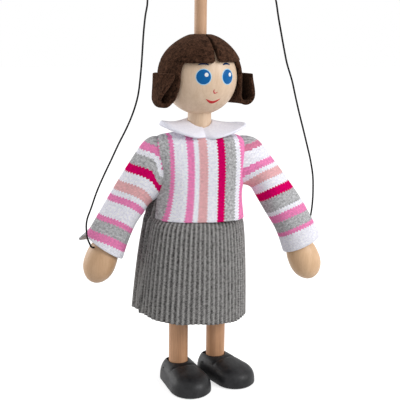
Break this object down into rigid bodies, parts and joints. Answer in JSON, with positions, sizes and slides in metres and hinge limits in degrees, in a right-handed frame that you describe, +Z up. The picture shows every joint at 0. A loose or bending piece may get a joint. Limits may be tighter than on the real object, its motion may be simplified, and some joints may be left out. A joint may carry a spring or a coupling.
{
  "type": "string puppet",
  "caption": "Wooden rod-and-string puppet of a girl with felt hair, a felt collar, a striped knitted sweater and a ribbed skirt; arms, legs and shoes swing on pins.",
  "frame": {"origin": "middle of the flat top end of the head rod, from which the puppet hangs", "axes": "+Z up along the rod, -Y the way the face looks, +X to the puppet's left"},
  "size_m": [0.1301, 0.0536, 0.2601],
  "materials": {
    "wood": "plain",
    "pale_wood": "sanded",
    "brown_felt": "felt",
    "white_felt": "felt",
    "striped_knit": "fine knit",
    "ribbed_knit": "ribbed knit",
    "black_wood": "black paint",
    "steel": "drawn",
    "string": "black thread"
  },
  "bodies": {
    "puppet_body": {"control_bar": "wood", "bar_knot_left": "string", "bar_knot_right": "string", "head_rod": "wood", "head": "pale_wood", "neck": "pale_wood", "fringe_left": "brown_felt", "fringe_right": "brown_felt", "hair_flip_left": "brown_felt", "hair_flip_right": "brown_felt", "hair_back": "brown_felt", "collar": "white_felt", "torso": "wood", "sweater": "striped_knit", "skirt": "ribbed_knit", "shoulder_pin_left": "steel", "shoulder_pin_right": "steel", "hip_pin": "steel", "string_left": "string", "string_right": "string"},
    "left_arm": {"arm_left": "wood", "sleeve_left": "striped_knit", "hand_left": "pale_wood"},
    "left_leg": {"leg_left": "wood"},
    "left_foot": {"shoe_left": "black_wood", "ankle_pin_left": "steel"},
    "right_arm": {"arm_right": "wood", "sleeve_right": "striped_knit", "hand_right": "pale_wood"},
    "right_leg": {"leg_right": "wood"},
    "right_foot": {"shoe_right": "black_wood", "ankle_pin_right": "steel"}
  },
  "joints": [
    {"name": "shoulder_left", "type": "hinge", "parent": "puppet_body", "child": "left_arm", "pos_m": [0.02439, -0.00745, -0.1345], "axis": [-0.9563, 0.2924, 0], "range_deg": [-40, 110], "deforming": ["string_left"]},
    {"name": "shoulder_right", "type": "hinge", "parent": "puppet_body", "child": "right_arm", "pos_m": [-0.02439, 0.00745, -0.1345], "axis": [-0.9563, 0.2924, 0], "range_deg": [-40, 110], "deforming": ["string_right"]},
    {"name": "hip_left", "type": "hinge", "parent": "puppet_body", "child": "left_leg", "pos_m": [0.01175, 0, -0.17], "axis": [-1, 0, 0], "range_deg": [-12, 12]},
    {"name": "hip_right", "type": "hinge", "parent": "puppet_body", "child": "right_leg", "pos_m": [-0.01175, 0, -0.17], "axis": [-1, 0, 0], "range_deg": [-12, 12]},
    {"name": "ankle_left", "type": "hinge", "parent": "left_leg", "child": "left_foot", "pos_m": [0.01175, 0, -0.2529], "axis": [0.9703, 0.2419, 0], "range_deg": [-4, 24]},
    {"name": "ankle_right", "type": "hinge", "parent": "right_leg", "child": "right_foot", "pos_m": [-0.01175, 0, -0.2529], "axis": [1, 0, 0], "range_deg": [-4, 24]}
  ]
}
